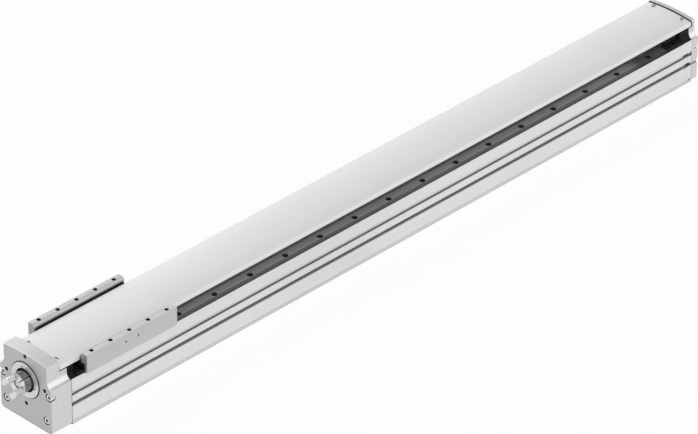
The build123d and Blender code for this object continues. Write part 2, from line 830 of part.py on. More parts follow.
def slide_bar(side):
    upper = rect(side * bar_inner_y, side * half_slide, plate_top, slide_top)
    skirt = rect(side * (half_slide - skirt_width), side * half_slide, skirt_bottom, plate_top)
    section = upper + skirt
    corner = [v for v in section.vertices()
              if v.Y > slide_top - 0.1 and abs(v.X) < half_slide - 1]
    section = fillet(corner, bar_round)
    corner = [v for v in section.vertices()
              if v.Y > slide_top - 0.1 and abs(v.X) > half_slide - 1]
    section = chamfer(corner, 0.4)
    body = along_x(section, slide_start, slide_end)
    tools = []
    y = side * mount_hole_spacing / 2
    for x in mount_hole_places():
        tools.append(rod_z(mount_thread_radius, x, y, slide_top - mount_thread_depth, slide_top + 1))
        mouth = Cone(mount_thread_radius, mount_thread_radius + hole_chamfer, hole_chamfer)
        tools.append(Pos(x, y, slide_top - hole_chamfer / 2) * mouth)
    for x in bar_screw_places():
        tools.append(rod_z(bar_screw_radius + thread_clearance, x, side * bar_screw_y, plate_top - 1,
                           plate_top + bar_thread_depth))
    for x in lube_places():
        tools.append(rod_y(lube_hole_radius, x, lube_hole_height, side * (half_slide - lube_hole_depth),
                           side * (half_slide + 1)))
    return body - tools


# Wiper strips that close the gaps between the bars and the cover
def cover_wipers():
    x0, x1 = slide_start + wiper_end_inset, slide_end - wiper_end_inset
    inner = half_raised + wiper_cover_gap
    return [along_x(rect(side * inner, side * bar_inner_y, plate_top, plate_top + wiper_height), x0, x1)
            for side in (1, -1)]


def slide_bar_screws():
    screws = []
    for side in (1, -1):
        for x in bar_screw_places():
            y = side * bar_screw_y
            seat = plate_bottom + bar_screw_head_height
            tip = plate_top + bar_thread_depth - thread_end_room
            screw = rod_z(bar_screw_head_radius, x, y, plate_bottom, seat)
            screws.append(screw + rod_z(bar_screw_radius, x, y, seat, tip))
    return screws


def lube_places():
    return (slide_centre - lube_hole_offset, slide_centre + lube_hole_offset)


def lube_plugs():
    plugs = []
    for side in (1, -1):
        for x in lube_places():
            plugs.append(rod_y(lube_hole_radius - thread_clearance, x, lube_hole_height,
                               side * (half_slide - lube_hole_depth), side * (half_slide - lube_recess)))
    return plugs


# Runner blocks: hardened blocks with raceways opposite the rail's, and return bores inside
def runner_section(side):
    section = rect(side * runner_inner_y, side * runner_outer_y, runner_bottom, plate_bottom)
    for z in raceway_heights:
        section -= Pos(side * raceway_y, z) * Circle(raceway_radius)
        section -= Pos(side * (runner_outer_y - runner_return_depth), z) * Circle(raceway_radius)
    return section


def runner(side, start):
    body = along_x(runner_section(side), start, start + runner_length)
    thread_radius = m4_shank_radius + thread_clearance
    tools = [rod_z(thread_radius, x, y, plate_bottom - runner_thread_depth, plate_bottom + 1)
             for x, y in runner_screw_places(side) if start < x < start + runner_length]
    return body - tools


def runner_screw_places(side):
    places = []
    for start in runner_starts():
        middle = start + runner_length / 2
        places += [(middle + s * runner_screw_spacing / 2, side * runner_mid_y) for s in (1, -1)]
    return places


def plate_screws(places, depth):
    seat = plate_top - m4_head_height - 0.2
    return [rod_z(m4_head_radius, x, y, seat, seat + m4_head_height)
            + rod_z(m4_shank_radius, x, y, plate_bottom - depth, seat) for x, y in places]


def runner_screws():
    places = runner_screw_places(1) + runner_screw_places(-1)
    return plate_screws(places, runner_thread_depth - thread_end_room)


def housing_screws():
    places = housing_screw_places(1) + housing_screw_places(-1)
    return plate_screws(places, housing_thread_depth - thread_end_room)


def runner_end_caps():
    caps = []
    for side in (1, -1):
        section = rect(side * (runner_inner_y + 0.4), side * (runner_outer_y - 0.2), runner_bottom + 0.6,
                       plate_bottom - 0.3)
        for start in runner_starts():
            for x in (start - runner_cap_thickness, start + runner_length):
                cap = along_x(section, x, x + runner_cap_thickness)
                face = -1 if x < start else 0
                caps.append(chamfer(cap.faces().sort_by(Axis.X)[0 if face else -1].edges(), 1.0))
    return caps


def end_buffer(x_face, inward):
    buffers = []
    for side in (1, -1):
        x0, x1 = sorted((x_face, x_face + inward * buffer_length))
        rod = rod_x(buffer_radius, x0, x1, side * runner_mid_y, buffer_height)
        tip = rod.faces().sort_by(Axis.X)[-1 if inward > 0 else 0]
        buffers.append(chamfer(tip.edges(), buffer_chamfer))
    return buffers


def write(name, shape):
    shapes = list(shape) if isinstance(shape, (list, tuple)) else [shape]
    solids = [solid for item in shapes for solid in item.solids()]
    item = solids[0] if len(solids) == 1 else Compound(children=solids)
    item.label = name
    export_step(item, f"parts/{name}.step")


os.makedirs("parts", exist_ok=True)
write("base_profile", base_profile())
write("left_rail", rail(1))
write("right_rail", rail(-1))
write("rail_screws", rail_screws())
write("drive_end_fillers", rail_filler(0))
write("far_end_fillers", rail_filler(1))
write("filler_screws", filler_screws())
write("drive_end_stop_blocks", stop_blocks(0))
write("far_end_stop_blocks", stop_blocks(1))
write("drive_cap", drive_cap())
write("drive_cap_screws", cap_screws(drive_front, 1, drive_cap_length))
write("far_cap", far_cap())
write("far_cap_screws", cap_screws(far_back, -1, far_cap_length))
write("top_cover", top_cover())
write("cover_screws", cover_screws())
write("far_gasket", far_gasket())
write("bearing_retaining_ring", bearing_retaining_ring())
write("fixed_bearing_outer_ring", fixed_bearing_outer_ring())
write("fixed_bearing_inner_ring", fixed_bearing_inner_ring())
write("fixed_bearing_cage", fixed_bearing_cage())
write("floating_bearing_outer_ring", floating_bearing_outer_ring())
write("floating_bearing_inner_ring", floating_bearing_inner_ring())
write("floating_bearing_cage", floating_bearing_cage())
write("floating_bearing_circlip", circlip())
write("ball_screw", ball_screw())
write("lock_nut", lock_nut())
write("coupling_hub", coupling_hub())
write("hub_clamp_screw", hub_clamp_screw())
write("ball_nut", ball_nut())
write("nut_screws", nut_screws())
write("nut_housing", nut_housing())
write("housing_screws", housing_screws())
write("carriage_plate", carriage_plate())
write("left_slide_bar", slide_bar(1))
write("right_slide_bar", slide_bar(-1))
write("slide_bar_screws", slide_bar_screws())
write("lube_plugs", lube_plugs())
write("cover_wipers", cover_wipers())
for label, index in (("drive_side", 0), ("far_side", 1)):
    write(f"left_{label}_runner", runner(1, runner_starts()[index]))
    write(f"right_{label}_runner", runner(-1, runner_starts()[index]))
write("runner_screws", runner_screws())
write("runner_end_caps", runner_end_caps())
write("drive_end_buffers", end_buffer(drive_end, 1))
write("far_end_buffers", end_buffer(far_end, -1))
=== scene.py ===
import bmesh
import bpy
import math
from collections import namedtuple
from mathutils import Matrix, Vector


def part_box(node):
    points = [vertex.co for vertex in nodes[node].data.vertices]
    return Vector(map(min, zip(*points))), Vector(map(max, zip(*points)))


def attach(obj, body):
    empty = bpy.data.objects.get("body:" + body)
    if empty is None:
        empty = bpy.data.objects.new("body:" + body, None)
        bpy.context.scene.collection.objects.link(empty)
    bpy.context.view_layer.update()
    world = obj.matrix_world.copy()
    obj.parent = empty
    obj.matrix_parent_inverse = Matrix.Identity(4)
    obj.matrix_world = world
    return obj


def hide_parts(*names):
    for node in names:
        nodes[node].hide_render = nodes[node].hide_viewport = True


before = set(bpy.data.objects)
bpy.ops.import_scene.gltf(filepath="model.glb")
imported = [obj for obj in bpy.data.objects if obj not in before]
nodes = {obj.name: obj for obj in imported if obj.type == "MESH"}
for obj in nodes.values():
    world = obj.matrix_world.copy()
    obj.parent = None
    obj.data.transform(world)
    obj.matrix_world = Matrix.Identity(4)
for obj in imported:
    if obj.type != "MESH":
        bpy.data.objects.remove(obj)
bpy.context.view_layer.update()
mm = 0.001


cornerInMm = namedtuple("cornerInMm", "x y z")


def boxInMm(name):
    # a node's lowest and highest corners, to a thousandth of a millimetre
    return [cornerInMm(*(round(value / mm, 3) for value in corner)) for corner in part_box(name)]


ringLow, ringHigh = boxInMm("bearing_retaining_ring")
axisHeight = (ringLow.z + ringHigh.z) / 2  # the screw's axis above the base face
print("frame loaded with", len(nodes), "nodes")


# Finishes: shared groups give colour, roughness and height, and paint light and shade into the colour
def newGroup(name, inputs, outputs):
    group = bpy.data.node_groups.new(name, "ShaderNodeTree")
    for label, kind, value in inputs:
        socket = group.interface.new_socket(label, in_out="INPUT", socket_type=kind)
        socket.default_value = value
    for label, kind in outputs:
        group.interface.new_socket(label, in_out="OUTPUT", socket_type=kind)
    return group, group.nodes.new("NodeGroupInput"), group.nodes.new("NodeGroupOutput")


def feed(tree, socket, value):
    # a socket is linked, and any other value is set
    if isinstance(value, bpy.types.NodeSocket):
        tree.links.new(value, socket)
    elif value is not None:
        socket.default_value = value


def placeGroup(tree, group, values):
    node = tree.nodes.new("ShaderNodeGroup")
    node.node_tree = group
    for label, value in values.items():
        feed(tree, node.inputs[label], value)
    return node


def mathNode(tree, operation, a, b=None):
    node = tree.nodes.new("ShaderNodeMath")
    node.operation = operation
    feed(tree, node.inputs[0], a)
    feed(tree, node.inputs[1], b)
    return node.outputs[0]


def vectorNode(tree, operation, a, b):
    node = tree.nodes.new("ShaderNodeVectorMath")
    node.operation = operation
    feed(tree, node.inputs[0], a)
    feed(tree, node.inputs["Scale" if operation == "SCALE" else 1], b)
    return node.outputs["Value" if operation == "DOT_PRODUCT" else "Vector"]


def mapValue(tree, value, low, high, start=0.0, end=1.0):
    # low where the value is start, and high where it is end
    node = tree.nodes.new("ShaderNodeMapRange")
    feed(tree, node.inputs["Value"], value)
    for label, limit in (("From Min", start), ("From Max", end), ("To Min", low), ("To Max", high)):
        feed(tree, node.inputs[label], limit)
    return node.outputs[0]


mixSockets = {"FLOAT": (2, 3, 0), "RGBA": (6, 7, 2)}  # A, B and the result of a Mix node


def mix(tree, kind, factor, a, b):
    node = tree.nodes.new("ShaderNodeMix")
    node.data_type = kind
    first, second, result = mixSockets[kind]
    for index, value in ((0, factor), (first, a), (second, b)):
        feed(tree, node.inputs[index], value)
    return node.outputs[result]


def noise(tree, where, scale, detail=2.0, dimensions="3D"):
    node = tree.nodes.new("ShaderNodeTexNoise")
    node.noise_dimensions = dimensions
    feed(tree, node.inputs["W" if dimensions == "1D" else "Vector"], where)
    feed(tree, node.inputs["Scale"], scale)
    node.inputs["Detail"].default_value = detail
    return node.outputs["Fac"]


def weigh(tree, a, b, share):
    # b counts by its share, and a by the rest
    return mathNode(tree, "ADD", mathNode(tree, "MULTIPLY", a, 1 - share),
                    mathNode(tree, "MULTIPLY", b, share))


def grey(value):
    return (value, value, value, 1.0)


grainInputs = [("Light", "NodeSocketColor", grey(0.8)), ("Dark", "NodeSocketColor", grey(0.7)),
               ("Smooth", "NodeSocketFloat", 0.3), ("Rough", "NodeSocketFloat", 0.5)]
grainOutputs = [("Color", "NodeSocketColor"), ("Roughness", "NodeSocketFloat"),
                ("Height", "NodeSocketFloat")]
noiseLimits = (0.3, 0.7)  # most of a noise texture lies between these


def linkGrain(group, start, end, tone, fine):
    # slow tone gives the colour, fine lines give roughness and height
    spread = mapValue(group, tone, 0.0, 1.0, *noiseLimits)
    color = mix(group, "RGBA", spread, start.outputs["Dark"], start.outputs["Light"])
    rough = mapValue(group, fine, start.outputs["Smooth"], start.outputs["Rough"])
    for label, value in (("Color", color), ("Roughness", rough), ("Height", fine)):
        group.links.new(value, end.inputs[label])


def makeDrawnGrain():
    # long fine lines from the extrusion press or the grinding wheel, with slow blotches in the tone
    blotchScale, blotchShare, lineDetail = 9.0, 0.4, 3.0
    inputs = grainInputs + [("Stretch", "NodeSocketVector", (4.0, 900.0, 900.0)),
                            ("Speckle", "NodeSocketFloat", 1800.0),
                            ("Speckle Share", "NodeSocketFloat", 0.3)]
    group, start, end = newGroup("drawnGrain", inputs, grainOutputs)
    where = group.nodes.new("ShaderNodeTexCoord").outputs["Object"]
    lines = noise(group, vectorNode(group, "MULTIPLY", where, start.outputs["Stretch"]), 1.0, lineDetail)
    speckle = noise(group, where, start.outputs["Speckle"])
    fine = mix(group, "FLOAT", start.outputs["Speckle Share"], lines, speckle)
    linkGrain(group, start, end, weigh(group, fine, noise(group, where, blotchScale), blotchShare), fine)
    return group


def makeTurnedRings():
    # fine rings from the lathe around an axis that runs along X
    cloudScale, cloudShare, feedRate = 160.0, 0.3, 0.8
    inputs = grainInputs + [("Centre", "NodeSocketVector", (0.0, 0.0, 0.0)),
                            ("Pitch", "NodeSocketFloat", 2500.0)]
    group, start, end = newGroup("turnedRings", inputs, grainOutputs)
    where = group.nodes.new("ShaderNodeTexCoord").outputs["Object"]
    parts = group.nodes.new("ShaderNodeSeparateXYZ")
    group.links.new(vectorNode(group, "SUBTRACT", where, start.outputs["Centre"]), parts.inputs[0])
    squares = [mathNode(group, "MULTIPLY", parts.outputs[axis], parts.outputs[axis]) for axis in "YZ"]
    radius = mathNode(group, "SQRT", mathNode(group, "ADD", *squares))
    along = mathNode(group, "ADD", radius, mathNode(group, "MULTIPLY", parts.outputs["X"], feedRate))
    lines = noise(group, mathNode(group, "MULTIPLY", along, start.outputs["Pitch"]), 1.0, dimensions="1D")
    linkGrain(group, start, end, weigh(group, lines, noise(group, where, cloudScale), cloudShare), lines)
    return group


def makePaintedEdgeLight():
    # painted highlight where the metal turns a corner, painted shade where the edge colour is darker, and
    # the normal of the softened edge
    fullEdgeLight, noEdgeLight, samples = 0.75, 0.99, 4  # how far the softened normal agrees with the flat one
    inputs = [("Color", "NodeSocketColor", grey(0.7)), ("Edge Color", "NodeSocketColor", grey(0.9)),
              ("Radius", "NodeSocketFloat", 0.0005), ("Share", "NodeSocketFloat", 0.6)]
    outputs = [("Color", "NodeSocketColor"), ("Normal", "NodeSocketVector")]
    group, start, end = newGroup("paintedEdgeLight", inputs, outputs)
    soft = group.nodes.new("ShaderNodeBevel")
    soft.samples = samples
    group.links.new(start.outputs["Radius"], soft.inputs["Radius"])
    flat = group.nodes.new("ShaderNodeNewGeometry").outputs["Normal"]
    agree = vectorNode(group, "DOT_PRODUCT", soft.outputs[0], flat)
    edgeLit = mapValue(group, agree, start.outputs["Share"], 0.0, fullEdgeLight, noEdgeLight)
    color = mix(group, "RGBA", edgeLit, start.outputs["Color"], start.outputs["Edge Color"])
    group.links.new(color, end.inputs["Color"])
    group.links.new(soft.outputs[0], end.inputs["Normal"])
    return group


def makeToneBand():
    # the tone changes over a stretch, and "Place" says where on it a point lies
    inputs = [("Color", "NodeSocketColor", grey(0.7)), ("Place", "NodeSocketFloat", 0.0),
              ("Start", "NodeSocketFloat", 0.0), ("Start Tone", "NodeSocketFloat", 1.0),
              ("End", "NodeSocketFloat", 1.0), ("End Tone", "NodeSocketFloat", 1.0)]
    group, start, end = newGroup("toneBand", inputs, [("Color", "NodeSocketColor")])
    order = ("Place", "Start Tone", "End Tone", "Start", "End")
    tone = mapValue(group, *(start.outputs[label] for label in order))
    group.links.new(vectorNode(group, "SCALE", start.outputs["Color"], tone), end.inputs["Color"])
    return group


def makeRecessShade():
    # painted shade, darker where little of the surroundings is open
    fullyOpen = 0.85
    inputs = [("Color", "NodeSocketColor", grey(0.7)), ("Open", "NodeSocketFloat", 1.0),
              ("Shade", "NodeSocketFloat", 0.25), ("Closed", "NodeSocketFloat", 0.2)]
    group, start, end = newGroup("recessShade", inputs, [("Color", "NodeSocketColor")])
    tone = mapValue(group, start.outputs["Open"], start.outputs["Shade"], 1.0,
                    start.outputs["Closed"], fullyOpen)
    group.links.new(vectorNode(group, "SCALE", start.outputs["Color"], tone), end.inputs["Color"])
    return group


drawnGrain, turnedRings = makeDrawnGrain(), makeTurnedRings()
paintedEdgeLight, toneBand, recessShade = makePaintedEdgeLight(), makeToneBand(), makeRecessShade()

# What a look has unless it says otherwise. Lengths are in millimetres. A row of "facing" or "along"
# is an axis, then a start with its tone and an end with its tone, of the normal or of the place in metres.
# Facing rows are painted light and shade by the way a face looks, along rows tone a stretch by place,
# and recess, reach and shadeFrom set the painted shade in hollows.
plainLook = {"specular": 0.5, "edgeShare": 0.6, "recess": 0.25, "reach": 5.0, "shadeFrom": 0.2,
             "shadeSamples": 6, "relief": 0.05, "facing": [], "along": []}


def toneAlong(tree, color, source, bands):
    # the colour, with its tone changed by each band of a normal or a place
    if not bands:
        return color
    parts = tree.nodes.new("ShaderNodeSeparateXYZ")
    tree.links.new(tree.nodes.new("ShaderNodeTexCoord").outputs[source], parts.inputs[0])
    for axis, *band in bands:
        values = dict(zip(("Start", "Start Tone", "End", "End Tone"), band))
        values.update({"Color": color, "Place": parts.outputs[axis]})
        color = placeGroup(tree, toneBand, values).outputs["Color"]
    return color


def makeFinish(name, look, grainGroup):
    look = {**plainLook, **look}
    material = bpy.data.materials.new(name)
    material.use_nodes = True
    tree = material.node_tree
    shader = tree.nodes["Principled BSDF"]
    grain = placeGroup(tree, grainGroup, look["grain"])
    # painted light and shade by the way a face looks, then a tone by place
    color = toneAlong(tree, grain.outputs["Color"], "Normal", look["facing"])
    color = toneAlong(tree, color, "Object", look["along"])
    # painted highlight on edges, painted shade where the edge colour is darker
    edge = placeGroup(tree, paintedEdgeLight, {"Color": color, "Edge Color": look["edgeColor"],
                                       "Radius": look["edge"] * mm, "Share": look["edgeShare"]})
    # painted shade in hollows
    around = tree.nodes.new("ShaderNodeAmbientOcclusion")
    around.samples = look["shadeSamples"]
    around.inputs["Distance"].default_value = look["reach"] * mm
    shaded = placeGroup(tree, recessShade, {"Color": edge.outputs["Color"], "Open": around.outputs["AO"],
                                            "Shade": look["recess"], "Closed": look["shadeFrom"]})
    bump = tree.nodes.new("ShaderNodeBump")
    for label, value in (("Strength", look["bump"]), ("Distance", look["relief"] * mm),
                         ("Height", grain.outputs["Height"]), ("Normal", edge.outputs["Normal"])):
        feed(tree, bump.inputs[label], value)
    for label, value in (("Base Color", shaded.outputs["Color"]), ("Metallic", look["metallic"]),
                         ("Roughness", grain.outputs["Roughness"]), ("Normal", bump.outputs[0]),
                         ("Specular IOR Level", look["specular"])):
        feed(tree, shader.inputs[label], value)
    return material


screwAxis = (0.0, 0.0, axisHeight * mm)
profileNear, profileFar = (corner.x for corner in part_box("base_profile"))
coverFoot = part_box("top_cover")[0].z
jawLength = 12.5
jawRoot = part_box("coupling_hub")[0].x + jawLength * mm
fineGrain = {"Stretch": (500.0, 500.0, 500.0), "Speckle": 3000.0, "Speckle Share": 0.5}

# painted highlight along its edges, painted shade at both ends where the caps meet it and in its slots
profileLook = {"metallic": 0.25, "bump": 0.25, "edge": 0.9, "edgeColor": grey(0.95), "edgeShare": 0.9,
               "along": [("X", profileNear, 0.3, profileNear + 1.1 * mm, 1.0),
                         ("X", profileFar - 1.1 * mm, 1.0, profileFar, 0.3)],
               "recess": 0.12, "reach": 7.0, "shadeFrom": 0.28,
               "grain": {"Light": grey(0.78), "Dark": grey(0.71), "Smooth": 0.34, "Rough": 0.5,
                         "Stretch": (3.0, 700.0, 700.0), "Speckle": 2600.0, "Speckle Share": 0.2}}
# painted light and shade: sides and rounded corners lighter than the top, faces towards -Y a little
# darker, faces towards -X much darker; dark along its foot
coverLook = {"metallic": 0.2, "bump": 0.2, "edge": 0.5, "edgeColor": grey(0.92), "recess": 0.12,
             "reach": 3.5,
             "facing": [("Y", -0.16, 0.87, 0.14, 1.0), ("Z", 0.7, 1.26, 0.98, 1.0),
                        ("X", -0.5, 0.22, -0.12, 1.0)],
             "along": [("Z", coverFoot + 0.8 * mm, 0.12, coverFoot + 1.2 * mm, 1.0)],
             "grain": {"Light": grey(0.76), "Dark": grey(0.71), "Smooth": 0.42, "Rough": 0.55,
                       "Stretch": (260.0, 260.0, 260.0), "Speckle": 3200.0, "Speckle Share": 0.6}}
# painted light and shade: the flared slopes lighter as a painted highlight, the top and faces towards -X
# darker, painted highlight on edges
capLook = {"metallic": 0.35, "bump": 0.3, "edge": 0.8, "edgeColor": grey(0.95), "edgeShare": 1.0,
           "recess": 0.08, "reach": 3.0, "shadeFrom": 0.4,
           "facing": [("Z", 0.05, 1.0, 0.35, 1.4), ("Z", 0.75, 1.0, 0.97, 0.55),
                      ("X", -0.95, 0.83, -0.6, 1.0)],
           "grain": {"Light": grey(0.69), "Dark": grey(0.61), "Smooth": 0.3, "Rough": 0.46,
                     "Stretch": (900.0, 900.0, 60.0), "Speckle": 2200.0, "Speckle Share": 0.35}}
# painted light and shade: the sides lighter than the top, faces towards -X darker
barLook = {"metallic": 0.4, "bump": 0.25, "edge": 0.5, "edgeColor": grey(0.85), "edgeShare": 0.2,
           "recess": 0.1, "facing": [("Z", 0.6, 1.12, 0.95, 1.0), ("X", -0.95, 0.75, -0.6, 1.0)],
           "grain": {"Light": grey(0.5), "Dark": grey(0.45), "Smooth": 0.26, "Rough": 0.42,
                     "Stretch": (30.0, 800.0, 800.0), "Speckle": 2200.0, "Speckle Share": 0.3}}
# sides darker than the ground top, partly a rail's darker side and partly painted shade; painted shade
# over the last stretch towards the far end and on its edges
railLook = {"metallic": 0.15, "bump": 0.3, "edge": 0.8, "edgeColor": grey(0.04), "edgeShare": 0.9,
            "recess": 0.1, "reach": 2.5, "specular": 0.25, "facing": [("Z", 0.6, 0.25, 0.95, 1.0)],
            "along": [("X", profileFar - 118 * mm, 1.0, profileFar - 98 * mm, 0.33)],
            "grain": {"Light": grey(0.33), "Dark": grey(0.27), "Smooth": 0.4, "Rough": 0.6,
                      "Stretch": (8.0, 1200.0, 1200.0), "Speckle": 2600.0, "Speckle Share": 0.2}}
steelLook = {"metallic": 0.75, "bump": 0.2, "edge": 0.2, "edgeColor": grey(0.9), "recess": 0.02,
             "reach": 3.0,
             "grain": {**fineGrain, "Light": grey(0.8), "Dark": grey(0.68), "Smooth": 0.2, "Rough": 0.36}}
# painted highlight: near-white heads standing in for their glints, with painted shade around their rims
coverHeadLook = {"metallic": 0.3, "bump": 0.2, "edge": 0.15, "edgeColor": grey(0.97), "recess": 0.3,
                 "reach": 1.2,
                 "grain": {**fineGrain, "Light": grey(0.95), "Dark": grey(0.88),
                           "Smooth": 0.25, "Rough": 0.4}}
darkSteelLook = {"metallic": 0.5, "bump": 0.2, "edge": 0.15, "edgeColor": grey(0.12), "recess": 0.2,
                 "specular": 0.2,
                 "grain": {**fineGrain, "Light": grey(0.035), "Dark": grey(0.02),
                           "Smooth": 0.4, "Rough": 0.6}}
# painted shade: near black, standing in for the shade deep in the tapped holes
threadLook = {"metallic": 0.3, "bump": 0.2, "edge": 0.05, "edgeColor": grey(0.04), "specular": 0.1,
              "grain": {**fineGrain, "Light": grey(0.02), "Dark": grey(0.01), "Smooth": 0.5, "Rough": 0.7}}
plasticLook = {"metallic": 0.0, "bump": 0.3, "edge": 0.2, "edgeColor": grey(0.02), "specular": 0.12,
               "grain": {"Light": grey(0.012), "Dark": grey(0.008), "Smooth": 0.5, "Rough": 0.7,
                         "Stretch": (900.0, 900.0, 900.0), "Speckle": 4000.0, "Speckle Share": 0.6}}
rubberLook = {"metallic": 0.0, "bump": 0.35, "edge": 0.2, "edgeColor": grey(0.02), "specular": 0.1,
              "grain": {"Light": grey(0.015), "Dark": grey(0.01), "Smooth": 0.65, "Rough": 0.85,
                        "Stretch": (600.0, 600.0, 600.0), "Speckle": 5000.0, "Speckle Share": 0.7}}
# painted shade on every face that doesn't look towards -X: its outer wall and the walls of its holes
ringLook = {"metallic": 0.5, "bump": 0.35, "edge": 0.35, "edgeColor": grey(0.95), "recess": 0.03,
            "reach": 2.0, "facing": [("X", -0.8, 1.0, -0.3, 0.12)],
            "grain": {"Light": grey(0.8), "Dark": grey(0.68), "Smooth": 0.2, "Rough": 0.36,
                      "Centre": screwAxis, "Pitch": 2600.0}}
# painted shade on the hub's body behind its jaws, painted highlight on its edges
hubLook = {"metallic": 0.6, "bump": 0.35, "edge": 0.5, "edgeColor": grey(0.98), "edgeShare": 1.0,
           "recess": 0.05, "along": [("X", jawRoot + 0.2 * mm, 1.0, jawRoot + 2.5 * mm, 0.28)],
           "grain": {"Light": grey(0.85), "Dark": grey(0.7), "Smooth": 0.16, "Rough": 0.3,
                     "Centre": screwAxis, "Pitch": 2200.0}}
spindleLook = {"metallic": 0.9, "bump": 0.15, "edge": 0.1, "edgeColor": grey(0.8),
               "grain": {"Light": grey(0.6), "Dark": grey(0.5), "Smooth": 0.12, "Rough": 0.26,
                         "Centre": screwAxis, "Pitch": 3000.0}}

extrudedAluminium = makeFinish("extrudedAluminium", profileLook, drawnGrain)
coverAluminium = makeFinish("coverAluminium", coverLook, drawnGrain)
milledAluminium = makeFinish("milledAluminium", capLook, drawnGrain)
slideAluminium = makeFinish("slideAluminium", barLook, drawnGrain)
railSteel = makeFinish("railSteel", railLook, drawnGrain)
brightSteel = makeFinish("brightSteel", steelLook, drawnGrain)
glintPaintedSteel = makeFinish("glintPaintedSteel", coverHeadLook, drawnGrain)
blackSteel = makeFinish("blackSteel", darkSteelLook, drawnGrain)
darkThread = makeFinish("darkThread", threadLook, drawnGrain)
blackPlastic = makeFinish("blackPlastic", plasticLook, drawnGrain)
blackRubber = makeFinish("blackRubber", rubberLook, drawnGrain)
turnedAluminium = makeFinish("turnedAluminium", ringLook, turnedRings)
hubAluminium = makeFinish("hubAluminium", hubLook, turnedRings)
spindleSteel = makeFinish("spindleSteel", spindleLook, turnedRings)

# the four runners, which aren't listed, are ground steel as the rails are
# painted shade by dark parts: the carriage plate, cover wipers, end fillers and end buffers are black,
# standing in for the shade under and beside the cover and at the rail ends
finishOfNode = {
    "base_profile": extrudedAluminium, "left_rail": railSteel, "right_rail": railSteel,
    "rail_screws": blackSteel, "drive_cap": milledAluminium, "far_cap": milledAluminium,
    "drive_cap_screws": brightSteel, "far_cap_screws": brightSteel, "cover_screws": brightSteel,
    "top_cover": coverAluminium, "far_gasket": blackRubber, "bearing_retaining_ring": turnedAluminium,
    "fixed_bearing_outer_ring": brightSteel, "fixed_bearing_inner_ring": brightSteel,
    "floating_bearing_outer_ring": brightSteel, "floating_bearing_inner_ring": brightSteel,
    "fixed_bearing_cage": blackPlastic, "floating_bearing_cage": blackPlastic,
    "floating_bearing_circlip": blackSteel, "ball_screw": spindleSteel, "lock_nut": blackSteel,
    "coupling_hub": hubAluminium, "hub_clamp_screw": blackSteel, "ball_nut": spindleSteel,
    "nut_screws": brightSteel, "nut_housing": slideAluminium, "housing_screws": brightSteel,
    "carriage_plate": blackSteel, "left_slide_bar": slideAluminium, "right_slide_bar": slideAluminium,
    "slide_bar_screws": brightSteel, "lube_plugs": darkThread, "cover_wipers": blackRubber,
    "runner_screws": brightSteel, "drive_end_stop_blocks": blackPlastic,
    "far_end_stop_blocks": blackPlastic, "drive_end_fillers": blackPlastic,
    "far_end_fillers": blackPlastic, "filler_screws": blackSteel,
    "runner_end_caps": blackPlastic, "drive_end_buffers": blackRubber, "far_end_buffers": blackRubber,
}
for name, node in nodes.items():
    node.data.materials.clear()
    node.data.materials.append(finishOfNode.get(name, railSteel))
print("finishes made")


# Screws and other small turned parts
def ringOfVerts(bm, count, radius, height, sides=0):
    # a loop of points across Z; with sides it follows a polygon of that many flats
    verts = bmesh.ops.create_circle(bm, segments=count, radius=radius)["verts"]
    if sides:
        for vert in verts:
            turn = math.atan2(vert.co.y, vert.co.x) % (2 * math.pi / sides) - math.pi / sides
            vert.co *= 1 / math.cos(turn)
    bmesh.ops.translate(bm, verts=verts, vec=(0, 0, height))
    found = set(verts)
    return [edge for edge in bm.edges if edge.verts[0] in found and edge.verts[1] in found]


def loftRings(rings, count=24):
    # joins the rings from first to last and closes both ends
    bm = bmesh.new()
    loops = [ringOfVerts(bm, count, *ring) for ring in rings]
    for first, second in zip(loops, loops[1:]):
        bmesh.ops.bridge_loops(bm, edges=first + second)
    for loop in (loops[0], loops[-1]):
        bmesh.ops.contextual_create(bm, geom=loop)
    bmesh.ops.recalc_face_normals(bm, faces=bm.faces)
    return bm


# a socket head's rounded edge in shares of "soft", then its hexagon in shares of "socket"
socketHead = {"sideDrop": 1.6, "cornerDrop": 0.5, "topInset": 2,
              "mouth": 1.22, "mouthDrop": 0.2, "flats": 6}


def socketScrew(size):
    head, tall, shank, soft = size["head"], size["tall"], size["shank"], size["soft"]
    flat, flats = size["socket"], socketHead["flats"]
    return loftRings([
        (shank, -size["length"]), (shank, 0), (head - soft, 0), (head, soft),
        (head, tall - soft * socketHead["sideDrop"]),
        (head - soft, tall - soft * socketHead["cornerDrop"]),
        (head - soft * socketHead["topInset"], tall), (flat * socketHead["mouth"], tall),
        (flat, tall - flat * socketHead["mouthDrop"], flats), (flat, tall - size["deep"], flats),
    ], size.get("count", 24))


# a countersunk head's side and edge in millimetres, then its hexagon
flatHead = {"side": 0.25, "edgeDrop": 0.05, "edgeInset": 0.08, "mouth": 1.2, "mouthDrop": 0.12, "flats": 6}


def flatScrew(size):
    head, shank, flat, flats = size["head"], size["shank"], size["socket"], flatHead["flats"]
    return loftRings([
        (shank, -size["length"]), (shank, -size["cone"]), (head, -flatHead["side"]),
        (head, -flatHead["edgeDrop"]), (head - flatHead["edgeInset"], 0), (flat * flatHead["mouth"], 0),
        (flat, -flatHead["mouthDrop"], flats), (flat, -size["deep"], flats),
    ])


